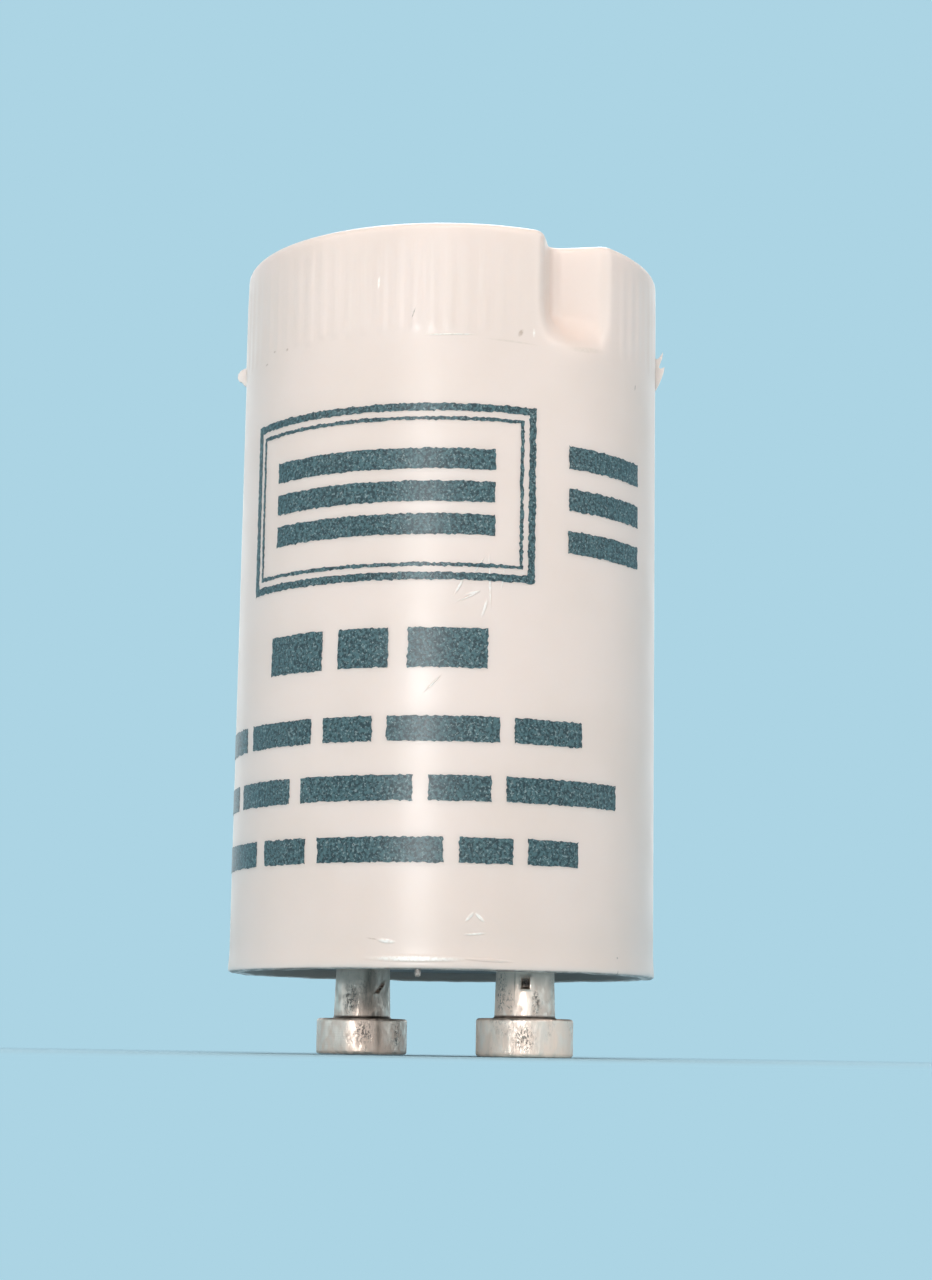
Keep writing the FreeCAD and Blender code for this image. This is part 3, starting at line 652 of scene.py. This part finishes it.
RAISED = (
    (-54.0, 5.25, 0.52, 0.14, -6), (-33.0, 6.42, 0.38, 0.11, 48), (-30.4, 6.38, 0.36, 0.11, -42),
    (-31.6, 5.62, 0.60, 0.08, 5), (-40.4, 34.32, 1.5, 0.06, 1), (-46.5, 4.44, 2.7, 0.20, 0),
    (-28.0, 4.42, 1.4, 0.10, -2), (-43.4, 17.3, 0.65, 0.06, 46), (-29.1, 22.3, 1.60, 0.08, 92),
    (-25.6, 22.5, 0.65, 0.06, 82), (-32.4, 22.9, 0.75, 0.06, 58), (-34.6, 21.5, 0.75, 0.06, 26),
    (-37.0, 22.0, 0.50, 0.10, 62), (-33.4, 21.7, 0.45, 0.11, 18), (-30.4, 21.0, 0.55, 0.11, 74),
)


def moulded_plastic():
    """Moulded thermoplastic, warm white: a satin skin that gives soft highlights, a faint cloudy
    tone from the melt, fine scratches and raised scuffs from handling with painted highlights on
    them, a few dark nicks, a painted shadow at a groove's foot and along the rib band's base,
    brown-grey grime along the outer edge of the trimmed rim, and painted shade in the mouth."""
    material, tree, shader, place = start_material("moulded_white_plastic")
    wall = wall_place(tree, place)
    melt = ranged(tree, noise(tree, place, 6.0, detail=2.0), 0.35, 0.65, 0.0, 1.0)
    colour = mixed(tree, melt, linear("#ECDDD5"), linear("#E8D9D0"))
    broken = ranged(tree, noise(tree, place, 0.14, detail=3.0), 0.35, 0.6, 0.45, 1.0)
    # The wall's marks, among them painted shadows and painted highlights
    for code, marks in NICKS_AND_PAINTED_LIGHT:
        share = times(tree, wall_marks(tree, wall, marks), broken)
        colour = mixed(tree, share, colour, linear(code))
    x, y, z = add_node(tree, "ShaderNodeSeparateXYZ", {0: place}).outputs
    radius = from_axis(tree, x, y)
    rim = times(tree, ranged(tree, z, (RIM - 0.01) * MM, (RIM + 0.11) * MM, 1.0, 0.0),
                ranged(tree, radius, (CAN_RADIUS - 0.35) * MM, (CAN_RADIUS - 0.2) * MM, 0.0, 1.0))
    darkening = ranged(tree, noise(tree, place, 0.7, (1, 1, 0.5), 4.0, 0.65), 0.3, 0.62, 0.35, 1.0)
    colour = mixed(tree, times(tree, rim, darkening), colour, linear("#655C54"))
    # Painted shade: the plastic inside the mouth, below the disc, is greyed
    mouth = times(tree, ranged(tree, z, (DISC_BOTTOM + 0.1) * MM, (DISC_BOTTOM + 0.3) * MM, 1.0, 0.0),
                  ranged(tree, radius, (MOUTH + 0.02) * MM, (MOUTH + 0.12) * MM, 0.75, 0.0))
    colour = mixed(tree, mouth, colour, linear("#8F8882"))
    ripple = bumped(tree, noise(tree, place, 5.0, detail=1.0), 0.02)
    scuffed = bumped(tree, wall_marks(tree, wall, RAISED), 0.035, ripple)
    set_inputs(tree, shader, {
        "Base Color": colour,
        "Roughness": ranged(tree, noise(tree, place, 2.2, detail=3.0), 0.3, 0.7, 0.31, 0.37),
        "IOR": 1.53,
        "Subsurface Weight": 0.45,
        "Subsurface Radius": (1.0, 0.92, 0.85),
        "Subsurface Scale": 0.9 * MM,
        "Normal": bumped(tree, noise(tree, place, 0.22, detail=2.0), 0.0025, scuffed),
    })
    return material


# Places on the pins, as for pin_spots(): scraped; stains with a painted dark reflection and painted shade
# among them; painted shade in the dents; and bare of oxide
HEAD, SHANK = HEAD_RADIUS, 1.44
SCRAPED = (
    (-1, 13.5, 0.95, HEAD, 0.45, 0.9), (-1, -36, 1.10, HEAD, 0.8, 0.8),
    (1, -42, 0.85, HEAD, 0.75, 0.9), (1, -96, 3.1, SHANK, 0.55, 1.6),
    (1, -72, 2.6, SHANK, 0.3, 0.8), (1, -20, 2.6, SHANK, 0.3, 0.9), (-1, -64, 2.8, SHANK, 0.6, 1.2),
)
# Painted dark reflection in the long streak down the left shank, painted shade at the left shank's foot
# and at the right pin's dent, and stains in the other spots
STAINS_SHADE_AND_REFLECTION = (
    (-1, -25, 3.4, SHANK, 0.46, 2.4), (-1, -8, 1.95, SHANK, 0.7, 0.4), (-1, -17, 1.0, HEAD, 0.24, 1.2),
    (1, -62, 3.3, SHANK, 0.07, 1.2), (1, -41, 3.5, SHANK, 0.30, 0.36),
)
# Painted shade: near black in the right pin's dent and along the left pin's nick
SHADED_DENTS = (
    (1, -41, 3.5, 1.12, 0.42, 0.42), (-1, -4, 3.24, 1.35, 0.13, 0.13),
    (-1, 2, 3.38, 1.35, 0.15, 0.14), (-1, 8, 3.52, 1.35, 0.13, 0.13),
)
BARE = (
    (1, -36, 2.7, SHANK, 0.60, 1.2), (-1, -58, 1.0, HEAD, 0.80, 1.0), (-1, -80, 3.0, SHANK, 0.60, 1.4),
)


def turned_aluminium():
    """Turned aluminium, handled for years: bright where it is bare and dull where an oxide film
    scatters the light. It has fine turning lines round it, blurred grey smears down it, dark
    scrapes and pits, stains, a painted dark reflection down the left shank, painted shade in
    the dents and at the left shank's foot, and painted shade with grime where each shank meets its head."""
    material, tree, shader, place = start_material("turned_aluminium")
    smears = noise(tree, place, 0.55, (1, 1, 4.0), 4.0, 0.6)
    colour = mixed(tree, ranged(tree, smears, 0.50, 0.74, 0.0, 0.6), linear("#FBE3D3"), linear("#DFC9B9"))
    streaks = ranged(tree, noise(tree, place, 0.16, (1, 1, 7), 4.0, 0.65), 0.35, 0.65, 0.5, 0.95)
    stains_shade_and_reflection = times(tree, pin_spots(tree, place, STAINS_SHADE_AND_REFLECTION), streaks)
    zones = ranged(tree, noise(tree, place, 1.1, detail=2.0), 0.52, 0.70, 0.0, 0.35)
    patchy = maths(tree, "MAXIMUM", zones, pin_spots(tree, place, SCRAPED))
    pits = ranged(tree, noise(tree, place, 0.11, (1, 1, 1.5), 5.0, 0.7), 0.48, 0.62, 0.0, 0.9)
    pitted = times(tree, pits, patchy)
    grit = ranged(tree, noise(tree, place, 0.08, detail=3.0), 0.35, 0.6, 0.85, 1.0)
    dent_shade = times(tree, pin_spots(tree, place, SHADED_DENTS), grit)
    height = add_node(tree, "ShaderNodeSeparateXYZ", {0: place}).outputs[2]
    # Painted shade with grime: a dark line on each shank just above its head
    corner = times(tree, ranged(tree, height, (HEAD_TOP - 0.03) * MM, (HEAD_TOP + 0.01) * MM, 0.0, 0.8),
                   ranged(tree, height, (HEAD_TOP + 0.07) * MM, (HEAD_TOP + 0.19) * MM, 1.0, 0.0))
    # Over the metal: stains with painted shade and a painted dark reflection, pits, painted shade in the
    # dents, and painted shade with grime above each head
    darkening = ((stains_shade_and_reflection, "#A5968A"), (pitted, "#6C6057"), (dent_shade, "#1F1B18"), (corner, "#3E3832"))
    for share, code in darkening:
        colour = mixed(tree, share, colour, linear(code))
    film = maths(tree, "SUBTRACT", noise(tree, place, 0.30, (1, 1, 1.8), 5.0, 0.6),
                 times(tree, pin_spots(tree, place, BARE), 0.15))
    lined = bumped(tree, noise(tree, place, 0.06, (40, 40, 1), 2.0), 0.004)
    smeared = bumped(tree, ranged(tree, smears, 0.35, 0.7, 1.0, 0.0), 0.012, lined)
    set_inputs(tree, shader, {
        "Base Color": colour,
        "Metallic": ranged(tree, film, 0.36, 0.60, 0.95, 0.35),
        "Roughness": ranged(tree, film, 0.30, 0.62, 0.32, 0.52),
        "Normal": bumped(tree, pitted, -0.012, smeared),
    })
    return material


def pad_ink():
    """Pad-printed ink, dark grey teal: thin and slightly glossy, uneven in tone, with fine pinholes
    where the white plastic shows through."""
    material, tree, shader, place = start_material("pad_printed_ink")
    holes = noise(tree, place, 0.11, detail=2.0, roughness=0.6)
    tone = ranged(tree, noise(tree, place, 0.15, detail=3.0, roughness=0.6), 0.38, 0.62, 0.0, 1.0)
    colour = mixed(tree, tone, linear("#48686D"), linear("#1C3238"))
    set_inputs(tree, shader, {
        "Base Color": mixed(tree, ranged(tree, holes, 0.56, 0.68, 0.0, 0.6), colour, linear("#9DADAD")),
        "Roughness": ranged(tree, holes, 0.3, 0.7, 0.30, 0.42),
        "IOR": 1.5,
        "Normal": bumped(tree, holes, 0.005),
    })
    return material


def pressed_board():
    """Punched insulating board: matt grey, with short fibres that mottle it."""
    material, tree, shader, place = start_material("pressed_insulating_board")
    fibres = noise(tree, place, 0.35, (3, 1, 1), 5.0, 0.7)
    cloud = ranged(tree, noise(tree, place, 4.0, detail=2.0), 0.4, 0.7, 0.0, 0.4)
    colour = mixed(tree, ranged(tree, fibres, 0.35, 0.7, 0.0, 1.0), linear("#6E6A66"), linear("#5F5B58"))
    set_inputs(tree, shader, {
        "Base Color": mixed(tree, cloud, colour, linear("#575350")),
        "Roughness": 0.62,
        "Normal": bumped(tree, fibres, 0.01),
    })
    return material


def plain_finish(name, first, second, period, metallic, roughness, depth,
                 stretch=(1, 1, 1), ior=None, clear=0.0):
    """A finish of two close colours in a noise of that period, with a bump of that depth."""
    material, tree, shader, place = start_material(name)
    grain = noise(tree, place, period, stretch, 4.0, 0.6)
    set_inputs(tree, shader, {
        "Base Color": mixed(tree, grain, linear(first), linear(second)),
        "Roughness": ranged(tree, grain, 0.3, 0.7, roughness * 0.8, roughness * 1.2),
        "Metallic": metallic,
        "Transmission Weight": clear,
        "Normal": bumped(tree, grain, depth),
    })
    if ior:
        shader.inputs["IOR"].default_value = ior
    return material


# The finishes of what the can hides: name, colours, period, metallic, roughness, depth, and more
INNER_FINISHES = {
    # Drawn soda glass: clear, with a faint waviness from drawing
    "bulb_glass": ("drawn_glass", "#F4F8F7", "#E8F0EE", 3.0, 0.0, 0.04, 0.01, (1, 1, 4), 1.52, 0.95),
    # Nickel-plated wire: grey and smooth, with drawing lines along it
    "nickel_wire": ("nickel_plated_wire", "#B9B5AC", "#9C978D", 0.1, 1.0, 0.32, 0.004, (1, 1, 12)),
    # Rolled strip of two alloys: satin, with rolling lines along it
    "bimetal": ("rolled_bimetal", "#A59E93", "#8A8276", 0.12, 1.0, 0.40, 0.004, (1, 1, 10)),
    # Tinned copper wire: silvery, with copper showing in places
    "copper_wire": ("tinned_copper_wire", "#C9C3BA", "#B58A6A", 0.5, 1.0, 0.34, 0.006),
    # Wound film and foil with sprayed metal: pale, with lines round the roll
    "capacitor_film": ("wound_film", "#D8D4CC", "#BDB9B1", 0.15, 0.0, 0.38, 0.01, (8, 8, 1), 1.5),
    # Polyester tape: smooth yellow with a slight gloss
    "capacitor_tape": ("polyester_tape", "#D9B64A", "#CDA63B", 0.9, 0.0, 0.26, 0.01, (1, 1, 1), 1.57),
    # Cast epoxy: glossy, dark yellow, with shallow shrink marks
    "capacitor_resin": ("cast_epoxy", "#A9853C", "#957230", 0.8, 0.0, 0.22, 0.02, (1, 1, 1), 1.55),
    # Extruded sleeving: matt black, with faint lines along it
    "sleeve_plastic": ("extruded_sleeving", "#26272A", "#33353A", 0.2, 0.0, 0.5, 0.005, (1, 1, 8), 1.5),
}


# The stage

def seen_by_eye(tree):
    """1 for what the camera, a reflection or a clear piece sees, and 0 for light on a surface."""
    rays = add_node(tree, "ShaderNodeLightPath").outputs
    seen = maths(tree, "MAXIMUM", rays["Is Camera Ray"], rays["Is Glossy Ray"])
    return maths(tree, "MAXIMUM", seen, rays["Is Transmission Ray"])


FLOOR_HALF = 1.5
FLOOR_DROP = 0.02 * MM


def make_floor():
    """Matt seamless paper in pale blue. It gives a plain ground with a soft shadow, and far from
    the object it turns into the background without a line."""
    material, tree, shader, place = start_material("matt_paper")
    fine = ranged(tree, noise(tree, place, 2.0, detail=4.0), 0.3, 0.7, 0.0, 1.0)
    set_inputs(tree, shader, {
        "Base Color": mixed(tree, fine, linear("#ABD3E5"), linear("#A8D0E2")),
        "Roughness": 0.9,
        "Specular IOR Level": 0.0,
    })
    far = times(tree, ranged(tree, length_of(tree, place), 0.015, 0.07, 0.0, 1.0), seen_by_eye(tree))
    glow = add_node(tree, "ShaderNodeEmission", {0: linear(BACKGROUND), 1: 1.0})
    blend = add_node(tree, "ShaderNodeMixShader", {0: far, 1: shader.outputs[0], 2: glow.outputs[0]})
    output = next(node for node in tree.nodes if node.type == "OUTPUT_MATERIAL")
    set_inputs(tree, output, {0: blend.outputs[0]})
    corners = [(x * FLOOR_HALF, y * FLOOR_HALF, -FLOOR_DROP)
               for x, y in ((-1, -1), (1, -1), (1, 1), (-1, 1))]
    mesh = bpy.data.meshes.new("floor")
    mesh.from_pydata(corners, [], [(0, 1, 2, 3)])
    object_of("floor", mesh, material)


def make_world():
    """Even studio light. What the camera, a reflection or a clear piece sees of it is pale blue."""
    world = bpy.data.worlds.new("studio")
    bpy.context.scene.world = world
    world.use_nodes = True
    tree = world.node_tree
    tree.nodes.clear()
    light = add_node(tree, "ShaderNodeBackground", {0: linear("#F3EFEA"), 1: 0.295})
    seen = add_node(tree, "ShaderNodeBackground", {0: linear(BACKGROUND), 1: 1.0})
    shown = add_node(tree, "ShaderNodeMixShader",
                     {0: seen_by_eye(tree), 1: light.outputs[0], 2: seen.outputs[0]})
    add_node(tree, "ShaderNodeOutputWorld", {0: shown.outputs[0]})


def aim(thing, place, goal):
    turn = (Vector(goal) - Vector(place)).to_track_quat("-Z", "Y")
    thing.matrix_world = Matrix.Translation(place) @ turn.to_matrix().to_4x4()


def make_lamp(name, place, goal, width, height, power, code):
    lamp = bpy.data.lights.new(name, "AREA")
    lamp.shape = "RECTANGLE"
    lamp.size = width
    lamp.size_y = height
    lamp.energy = power
    lamp.color = linear(code)[:3]
    thing = bpy.data.objects.new(name, lamp)
    thing.visible_camera = False
    bpy.context.scene.collection.objects.link(thing)
    aim(thing, place, goal)


VIEW_ANGLE = math.radians(50.04)


def around(turn, distance, height):
    """A place at that angle to the right of the camera, as seen from the can's axis."""
    angle = VIEW_ANGLE + math.radians(turn)
    return math.sin(angle) * distance, -math.cos(angle) * distance, height


WARM = "#FFF0E7"
# The lamps: name, angle, distance, height, height of what it faces, width, height, watts, colour
LAMPS = (
    ("key_softbox", -2, 0.16, 0.21, 0.036, 0.38, 0.12, 0.325, WARM),
    ("front_panel", 0, 0.60, 0.075, 0.022, 0.90, 0.13, 0.44, WARM),
    ("left_panel", -75, 0.60, 0.075, 0.022, 0.70, 0.13, 0.15, WARM),
    ("right_panel", 75, 0.60, 0.075, 0.022, 0.70, 0.13, 0.18, WARM),
    ("upper_left_card", -62, 0.10, 0.085, 0.04, 0.05, 0.04, 0.019, WARM),
    ("upper_right_card", 60, 0.10, 0.085, 0.04, 0.05, 0.04, 0.023, WARM),
    ("streak_lamp", -13, 0.42, 0.067, 0.022, 0.08, 0.05, 0.45, "#FFFFFF"),
    ("back_panel", 180, 0.60, 0.20, 0.022, 0.90, 0.34, 0.80, WARM),
    ("back_softbox", 180, 0.30, 0.40, 0.04, 0.20, 0.20, 0.8, "#F2F8FF"),
)


def make_lights():
    for name, turn, distance, level, goal, width, height, power, code in LAMPS:
        make_lamp(name, around(turn, distance, level), (0, 0, goal), width, height, power, code)


# The camera, as fitted to the photo
FOCAL_PIXELS = 2534.0
PICTURE_PIXELS = 1280
SENSOR = 36
CAMERA_DISTANCE = 0.12875
CAMERA_HEIGHT = 0.00030
YAW, PITCH, ROLL = (math.radians(value) for value in (0.442, 9.19, 0.90))


def turned(first, second, angle):
    """Two axes at right angles, turned in their plane, the first towards the second."""
    return (first * math.cos(angle) + second * math.sin(angle),
            second * math.cos(angle) - first * math.sin(angle))


def make_camera():
    camera = bpy.data.cameras.new("camera")
    camera.sensor_fit = "AUTO"
    camera.sensor_width = SENSOR
    camera.lens = FOCAL_PIXELS / PICTURE_PIXELS * SENSOR
    camera.clip_start = MM
    camera.clip_end = 10
    ahead = Vector((-math.sin(VIEW_ANGLE), math.cos(VIEW_ANGLE), 0))
    right = Vector((math.cos(VIEW_ANGLE), math.sin(VIEW_ANGLE), 0))
    upright = Vector((0, 0, 1))
    ahead, right = turned(ahead, right, YAW)
    ahead, upright = turned(ahead, upright, PITCH)
    right, upright = turned(right, upright, ROLL)
    axes = Matrix((right, upright, -ahead)).transposed().to_4x4()
    thing = bpy.data.objects.new("camera", camera)
    bpy.context.scene.collection.objects.link(thing)
    thing.matrix_world = Matrix.Translation(around(0, CAMERA_DISTANCE, CAMERA_HEIGHT)) @ axes
    bpy.context.scene.camera = thing


# The scene

bpy.context.scene.view_settings.view_transform = "Standard"
make_camera()
make_world()
make_lights()
make_floor()

plastic = moulded_plastic()
aluminium = turned_aluminium()
finishes = {"can_plastic": plastic, "pin_aluminium": aluminium, "disc_board": pressed_board()}
for slot, settings in INNER_FINISHES.items():
    finishes[slot] = plain_finish(*settings)
for part in frame["record"]["subparts"]:
    node = frame["nodes"][part["node"]]
    node.data.materials.clear()
    node.data.materials.append(finishes[part["material_slot"]])

make_can(plastic)
make_flash(plastic)
make_ink(pad_ink())
# Each pin has a dent: angle, height, half width, half height, depth, lean
make_pin("contact_pin_right", PIN_PLACE, aluminium, -41, 3.5, 0.21, 0.26, 0.3, 0.0)
make_pin("contact_pin_left", -PIN_PLACE, aluminium, 2, 3.4, 0.11, 0.27, 0.22, 0.9)
